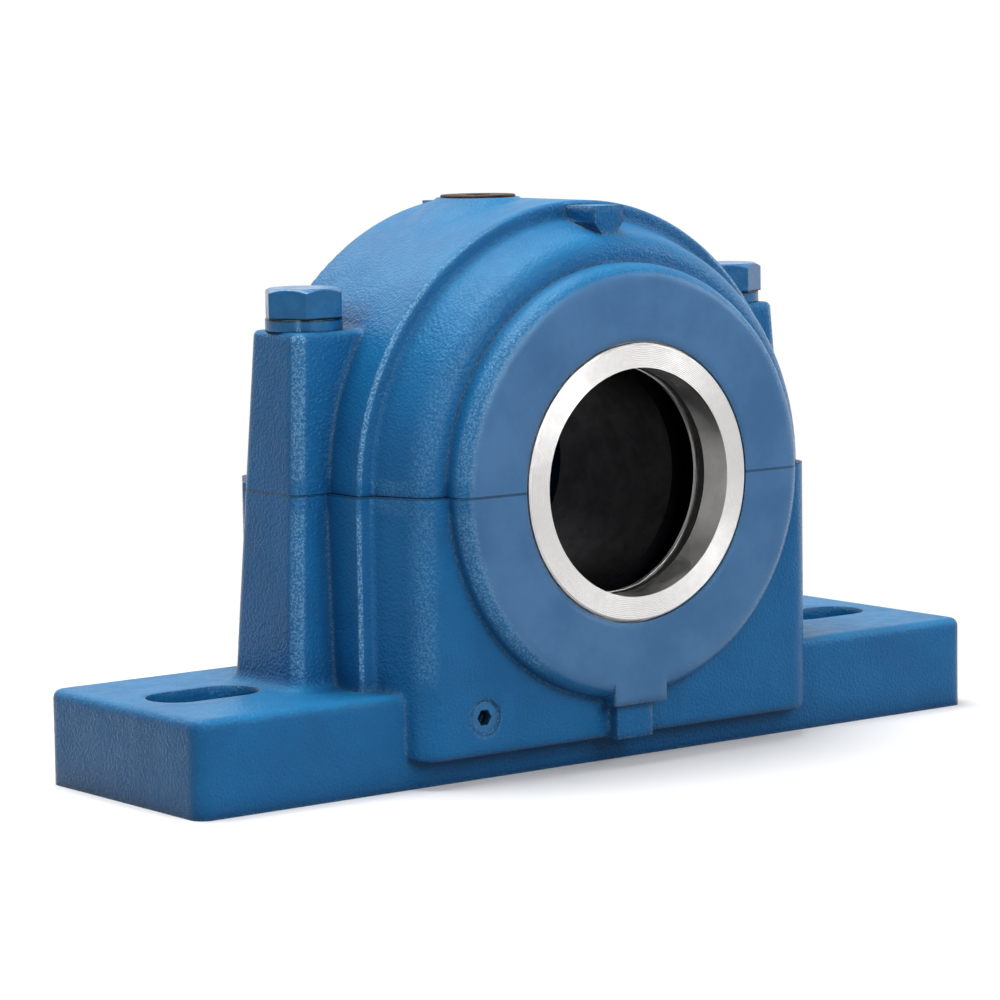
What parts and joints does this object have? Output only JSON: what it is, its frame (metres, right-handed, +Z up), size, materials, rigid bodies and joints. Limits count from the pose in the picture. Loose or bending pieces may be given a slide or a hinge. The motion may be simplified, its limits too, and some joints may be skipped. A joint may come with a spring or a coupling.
{
  "type": "split plummer block",
  "caption": "Split cast-iron plummer block: slotted foot, two-bolt cap, labyrinth rings and a spherical roller bearing on an adapter sleeve, for a 76.2 mm shaft.",
  "frame": {"origin": "middle of the foot's underside, on the ground, below the middle of the shaft bore", "axes": "+X along the foot, +Y along the shaft towards the back hub, +Z up"},
  "size_m": [0.3302, 0.1252, 0.1896],
  "materials": {
    "housing_enamel": "gloss enamel over a cast surface",
    "painted_fasteners": "enamel over zinc-plated steel",
    "bearing_steel": "ground",
    "roller_steel": "lapped",
    "black_plug": "black oxide",
    "turned_iron": "turned",
    "dark_steel": "black oxide",
    "washer_steel": "pressed sheet",
    "turned_ring": "turned",
    "seal_rubber": "moulded",
    "cage_steel": "pressed steel"
  },
  "bodies": {
    "housing": {"base_casting": "housing_enamel", "cap_casting": "housing_enamel", "cap_bolts": "painted_fasteners", "spring_washers": "painted_fasteners", "dowel_pins": "bearing_steel", "grease_plug": "black_plug", "drain_plug": "painted_fasteners", "locating_ring": "turned_iron", "outer_ring": "bearing_steel"},
    "shaft_group": {"inner_ring": "bearing_steel", "adapter_sleeve": "dark_steel", "lock_nut": "dark_steel", "lock_washer": "washer_steel", "labyrinth_ring_front": "turned_ring", "labyrinth_ring_back": "turned_ring", "o_ring_front": "seal_rubber", "o_ring_back": "seal_rubber"},
    "guide_ring_body": {"guide_ring": "cage_steel"},
    "cage_front_body": {"cage_front": "cage_steel"},
    "roller_front_01_body": {"roller_front_01": "roller_steel"},
    "roller_front_02_body": {"roller_front_02": "roller_steel"},
    "roller_front_03_body": {"roller_front_03": "roller_steel"},
    "roller_front_04_body": {"roller_front_04": "roller_steel"},
    "roller_front_05_body": {"roller_front_05": "roller_steel"},
    "roller_front_06_body": {"roller_front_06": "roller_steel"},
    "roller_front_07_body": {"roller_front_07": "roller_steel"},
    "roller_front_08_body": {"roller_front_08": "roller_steel"},
    "roller_front_09_body": {"roller_front_09": "roller_steel"},
    "roller_front_10_body": {"roller_front_10": "roller_steel"},
    "roller_front_11_body": {"roller_front_11": "roller_steel"},
    "roller_front_12_body": {"roller_front_12": "roller_steel"},
    "roller_front_13_body": {"roller_front_13": "roller_steel"},
    "roller_front_14_body": {"roller_front_14": "roller_steel"},
    "roller_front_15_body": {"roller_front_15": "roller_steel"},
    "roller_front_16_body": {"roller_front_16": "roller_steel"},
    "cage_back_body": {"cage_back": "cage_steel"},
    "roller_back_01_body": {"roller_back_01": "roller_steel"},
    "roller_back_02_body": {"roller_back_02": "roller_steel"},
    "roller_back_03_body": {"roller_back_03": "roller_steel"},
    "roller_back_04_body": {"roller_back_04": "roller_steel"},
    "roller_back_05_body": {"roller_back_05": "roller_steel"},
    "roller_back_06_body": {"roller_back_06": "roller_steel"},
    "roller_back_07_body": {"roller_back_07": "roller_steel"},
    "roller_back_08_body": {"roller_back_08": "roller_steel"},
    "roller_back_09_body": {"roller_back_09": "roller_steel"},
    "roller_back_10_body": {"roller_back_10": "roller_steel"},
    "roller_back_11_body": {"roller_back_11": "roller_steel"},
    "roller_back_12_body": {"roller_back_12": "roller_steel"},
    "roller_back_13_body": {"roller_back_13": "roller_steel"},
    "roller_back_14_body": {"roller_back_14": "roller_steel"},
    "roller_back_15_body": {"roller_back_15": "roller_steel"},
    "roller_back_16_body": {"roller_back_16": "roller_steel"}
  },
  "joints": [
    {"name": "shaft_spin", "type": "hinge", "parent": "housing", "child": "shaft_group", "pos_m": [0, 0, 0.09525], "axis": [0, 1, 0], "continuous": true},
    {"name": "guide_ring_spin", "type": "hinge", "parent": "housing", "child": "guide_ring_body", "pos_m": [0, 0.00625, 0.09525], "axis": [0, 1, 0], "continuous": true},
    {"name": "cage_front_spin", "type": "hinge", "parent": "housing", "child": "cage_front_body", "pos_m": [0, 0.00625, 0.09525], "axis": [0, 1, 0], "continuous": true},
    {"name": "roller_front_01_spin", "type": "hinge", "parent": "cage_front_body", "child": "roller_front_01_body", "pos_m": [0.05761, -0.00339, 0.09525], "axis": [0.165, 0.9863, 0], "continuous": true},
    {"name": "roller_front_02_spin", "type": "hinge", "parent": "cage_front_body", "child": "roller_front_02_body", "pos_m": [0.05322, -0.00339, 0.0732], "axis": [0.1525, 0.9863, -0.0632], "continuous": true},
    {"name": "roller_front_03_spin", "type": "hinge", "parent": "cage_front_body", "child": "roller_front_03_body", "pos_m": [0.04074, -0.00339, 0.05451], "axis": [0.1167, 0.9863, -0.1167], "continuous": true},
    {"name": "roller_front_04_spin", "type": "hinge", "parent": "cage_front_body", "child": "roller_front_04_body", "pos_m": [0.02205, -0.00339, 0.04203], "axis": [0.0632, 0.9863, -0.1525], "continuous": true},
    {"name": "roller_front_05_spin", "type": "hinge", "parent": "cage_front_body", "child": "roller_front_05_body", "pos_m": [0, -0.00339, 0.03764], "axis": [0, 0.9863, -0.165], "continuous": true},
    {"name": "roller_front_06_spin", "type": "hinge", "parent": "cage_front_body", "child": "roller_front_06_body", "pos_m": [-0.02205, -0.00339, 0.04203], "axis": [-0.0632, 0.9863, -0.1525], "continuous": true},
    {"name": "roller_front_07_spin", "type": "hinge", "parent": "cage_front_body", "child": "roller_front_07_body", "pos_m": [-0.04074, -0.00339, 0.05451], "axis": [-0.1167, 0.9863, -0.1167], "continuous": true},
    {"name": "roller_front_08_spin", "type": "hinge", "parent": "cage_front_body", "child": "roller_front_08_body", "pos_m": [-0.05322, -0.00339, 0.0732], "axis": [-0.1525, 0.9863, -0.0632], "continuous": true},
    {"name": "roller_front_09_spin", "type": "hinge", "parent": "cage_front_body", "child": "roller_front_09_body", "pos_m": [-0.05761, -0.00339, 0.09525], "axis": [-0.165, 0.9863, 0], "continuous": true},
    {"name": "roller_front_10_spin", "type": "hinge", "parent": "cage_front_body", "child": "roller_front_10_body", "pos_m": [-0.05322, -0.00339, 0.1173], "axis": [-0.1525, 0.9863, 0.0632], "continuous": true},
    {"name": "roller_front_11_spin", "type": "hinge", "parent": "cage_front_body", "child": "roller_front_11_body", "pos_m": [-0.04074, -0.00339, 0.13599], "axis": [-0.1167, 0.9863, 0.1167], "continuous": true},
    {"name": "roller_front_12_spin", "type": "hinge", "parent": "cage_front_body", "child": "roller_front_12_body", "pos_m": [-0.02205, -0.00339, 0.14847], "axis": [-0.0632, 0.9863, 0.1525], "continuous": true},
    {"name": "roller_front_13_spin", "type": "hinge", "parent": "cage_front_body", "child": "roller_front_13_body", "pos_m": [0, -0.00339, 0.15286], "axis": [0, 0.9863, 0.165], "continuous": true},
    {"name": "roller_front_14_spin", "type": "hinge", "parent": "cage_front_body", "child": "roller_front_14_body", "pos_m": [0.02205, -0.00339, 0.14847], "axis": [0.0632, 0.9863, 0.1525], "continuous": true},
    {"name": "roller_front_15_spin", "type": "hinge", "parent": "cage_front_body", "child": "roller_front_15_body", "pos_m": [0.04074, -0.00339, 0.13599], "axis": [0.1167, 0.9863, 0.1167], "continuous": true},
    {"name": "roller_front_16_spin", "type": "hinge", "parent": "cage_front_body", "child": "roller_front_16_body", "pos_m": [0.05322, -0.00339, 0.1173], "axis": [0.1525, 0.9863, 0.0632], "continuous": true},
    {"name": "cage_back_spin", "type": "hinge", "parent": "housing", "child": "cage_back_body", "pos_m": [0, 0.00625, 0.09525], "axis": [0, 1, 0], "continuous": true},
    {"name": "roller_back_01_spin", "type": "hinge", "parent": "cage_back_body", "child": "roller_back_01_body", "pos_m": [0.0565, 0.01589, 0.08401], "axis": [-0.1619, 0.9863, 0.0322], "continuous": true},
    {"name": "roller_back_02_spin", "type": "hinge", "parent": "cage_back_body", "child": "roller_back_02_body", "pos_m": [0.0479, 0.01589, 0.06324], "axis": [-0.1372, 0.9863, 0.0917], "continuous": true},
    {"name": "roller_back_03_spin", "type": "hinge", "parent": "cage_back_body", "child": "roller_back_03_body", "pos_m": [0.03201, 0.01589, 0.04735], "axis": [-0.0917, 0.9863, 0.1372], "continuous": true},
    {"name": "roller_back_04_spin", "type": "hinge", "parent": "cage_back_body", "child": "roller_back_04_body", "pos_m": [0.01124, 0.01589, 0.03875], "axis": [-0.0322, 0.9863, 0.1619], "continuous": true},
    {"name": "roller_back_05_spin", "type": "hinge", "parent": "cage_back_body", "child": "roller_back_05_body", "pos_m": [-0.01124, 0.01589, 0.03875], "axis": [0.0322, 0.9863, 0.1619], "continuous": true},
    {"name": "roller_back_06_spin", "type": "hinge", "parent": "cage_back_body", "child": "roller_back_06_body", "pos_m": [-0.03201, 0.01589, 0.04735], "axis": [0.0917, 0.9863, 0.1372], "continuous": true},
    {"name": "roller_back_07_spin", "type": "hinge", "parent": "cage_back_body", "child": "roller_back_07_body", "pos_m": [-0.0479, 0.01589, 0.06324], "axis": [0.1372, 0.9863, 0.0917], "continuous": true},
    {"name": "roller_back_08_spin", "type": "hinge", "parent": "cage_back_body", "child": "roller_back_08_body", "pos_m": [-0.0565, 0.01589, 0.08401], "axis": [0.1619, 0.9863, 0.0322], "continuous": true},
    {"name": "roller_back_09_spin", "type": "hinge", "parent": "cage_back_body", "child": "roller_back_09_body", "pos_m": [-0.0565, 0.01589, 0.10649], "axis": [0.1619, 0.9863, -0.0322], "continuous": true},
    {"name": "roller_back_10_spin", "type": "hinge", "parent": "cage_back_body", "child": "roller_back_10_body", "pos_m": [-0.0479, 0.01589, 0.12726], "axis": [0.1372, 0.9863, -0.0917], "continuous": true},
    {"name": "roller_back_11_spin", "type": "hinge", "parent": "cage_back_body", "child": "roller_back_11_body", "pos_m": [-0.03201, 0.01589, 0.14315], "axis": [0.0917, 0.9863, -0.1372], "continuous": true},
    {"name": "roller_back_12_spin", "type": "hinge", "parent": "cage_back_body", "child": "roller_back_12_body", "pos_m": [-0.01124, 0.01589, 0.15175], "axis": [0.0322, 0.9863, -0.1619], "continuous": true},
    {"name": "roller_back_13_spin", "type": "hinge", "parent": "cage_back_body", "child": "roller_back_13_body", "pos_m": [0.01124, 0.01589, 0.15175], "axis": [-0.0322, 0.9863, -0.1619], "continuous": true},
    {"name": "roller_back_14_spin", "type": "hinge", "parent": "cage_back_body", "child": "roller_back_14_body", "pos_m": [0.03201, 0.01589, 0.14315], "axis": [-0.0917, 0.9863, -0.1372], "continuous": true},
    {"name": "roller_back_15_spin", "type": "hinge", "parent": "cage_back_body", "child": "roller_back_15_body", "pos_m": [0.0479, 0.01589, 0.12726], "axis": [-0.1372, 0.9863, -0.0917], "continuous": true},
    {"name": "roller_back_16_spin", "type": "hinge", "parent": "cage_back_body", "child": "roller_back_16_body", "pos_m": [0.0565, 0.01589, 0.10649], "axis": [-0.1619, 0.9863, -0.0322], "continuous": true}
  ],
  "couplings": [
    {"joint": "guide_ring_spin", "follows": "shaft_spin", "ratio": 0.42724},
    {"joint": "cage_front_spin", "follows": "shaft_spin", "ratio": 0.42724},
    {"joint": "roller_front_01_spin", "follows": "shaft_spin", "ratio": -3.317},
    {"joint": "roller_front_02_spin", "follows": "shaft_spin", "ratio": -3.317},
    {"joint": "roller_front_03_spin", "follows": "shaft_spin", "ratio": -3.317},
    {"joint": "roller_front_04_spin", "follows": "shaft_spin", "ratio": -3.317},
    {"joint": "roller_front_05_spin", "follows": "shaft_spin", "ratio": -3.317},
    {"joint": "roller_front_06_spin", "follows": "shaft_spin", "ratio": -3.317},
    {"joint": "roller_front_07_spin", "follows": "shaft_spin", "ratio": -3.317},
    {"joint": "roller_front_08_spin", "follows": "shaft_spin", "ratio": -3.317},
    {"joint": "roller_front_09_spin", "follows": "shaft_spin", "ratio": -3.317},
    {"joint": "roller_front_10_spin", "follows": "shaft_spin", "ratio": -3.317},
    {"joint": "roller_front_11_spin", "follows": "shaft_spin", "ratio": -3.317},
    {"joint": "roller_front_12_spin", "follows": "shaft_spin", "ratio": -3.317},
    {"joint": "roller_front_13_spin", "follows": "shaft_spin", "ratio": -3.317},
    {"joint": "roller_front_14_spin", "follows": "shaft_spin", "ratio": -3.317},
    {"joint": "roller_front_15_spin", "follows": "shaft_spin", "ratio": -3.317},
    {"joint": "roller_front_16_spin", "follows": "shaft_spin", "ratio": -3.317},
    {"joint": "cage_back_spin", "follows": "shaft_spin", "ratio": 0.42724},
    {"joint": "roller_back_01_spin", "follows": "shaft_spin", "ratio": -3.317},
    {"joint": "roller_back_02_spin", "follows": "shaft_spin", "ratio": -3.317},
    {"joint": "roller_back_03_spin", "follows": "shaft_spin", "ratio": -3.317},
    {"joint": "roller_back_04_spin", "follows": "shaft_spin", "ratio": -3.317},
    {"joint": "roller_back_05_spin", "follows": "shaft_spin", "ratio": -3.317},
    {"joint": "roller_back_06_spin", "follows": "shaft_spin", "ratio": -3.317},
    {"joint": "roller_back_07_spin", "follows": "shaft_spin", "ratio": -3.317},
    {"joint": "roller_back_08_spin", "follows": "shaft_spin", "ratio": -3.317},
    {"joint": "roller_back_09_spin", "follows": "shaft_spin", "ratio": -3.317},
    {"joint": "roller_back_10_spin", "follows": "shaft_spin", "ratio": -3.317},
    {"joint": "roller_back_11_spin", "follows": "shaft_spin", "ratio": -3.317},
    {"joint": "roller_back_12_spin", "follows": "shaft_spin", "ratio": -3.317},
    {"joint": "roller_back_13_spin", "follows": "shaft_spin", "ratio": -3.317},
    {"joint": "roller_back_14_spin", "follows": "shaft_spin", "ratio": -3.317},
    {"joint": "roller_back_15_spin", "follows": "shaft_spin", "ratio": -3.317},
    {"joint": "roller_back_16_spin", "follows": "shaft_spin", "ratio": -3.317}
  ]
}
